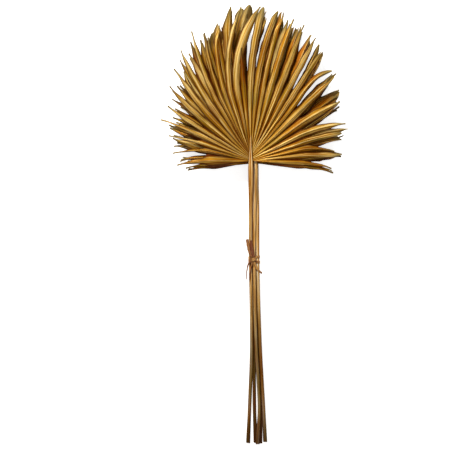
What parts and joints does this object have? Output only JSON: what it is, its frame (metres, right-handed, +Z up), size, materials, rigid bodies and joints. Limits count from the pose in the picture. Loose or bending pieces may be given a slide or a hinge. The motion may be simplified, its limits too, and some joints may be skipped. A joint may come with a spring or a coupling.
{
  "type": "dried palm frond bunch",
  "caption": "Bunch of dried fan palm fronds lying flat, with pleated gold-toned fan leaves on long slender stems, held together by a raffia tie.",
  "frame": {"origin": "on the surface the bunch lies on, below the middle of its bounding box", "axes": "+Y along the stems from the cut ends towards the leaf tips, +Z up from the surface, +X to the right when seen from above with the leaf tips away from the viewer"},
  "size_m": [0.2905, 0.7029, 0.0436],
  "materials": {
    "leaf": "dried leaf with a satin gold coat",
    "stem": "dried leafstalk with a thin satin gold coat",
    "raffia": "dry fibrous palm strip, matt"
  },
  "bodies": {
    "root": {"frond_1_blade": "leaf", "frond_1_stem": "stem", "frond_2_blade": "leaf", "frond_2_stem": "stem", "frond_3_blade": "leaf", "frond_3_stem": "stem", "frond_4_blade": "leaf", "frond_4_stem": "stem", "frond_5_blade": "leaf", "frond_5_stem": "stem", "raffia_turn_upper": "raffia", "raffia_turn_lower": "raffia", "raffia_knot": "raffia", "raffia_tail_upper_left": "raffia", "raffia_tail_upper_right": "raffia", "raffia_tail_lower_left": "raffia", "raffia_tail_lower_middle": "raffia", "raffia_tail_lower_right": "raffia"}
  },
  "joints": []
}
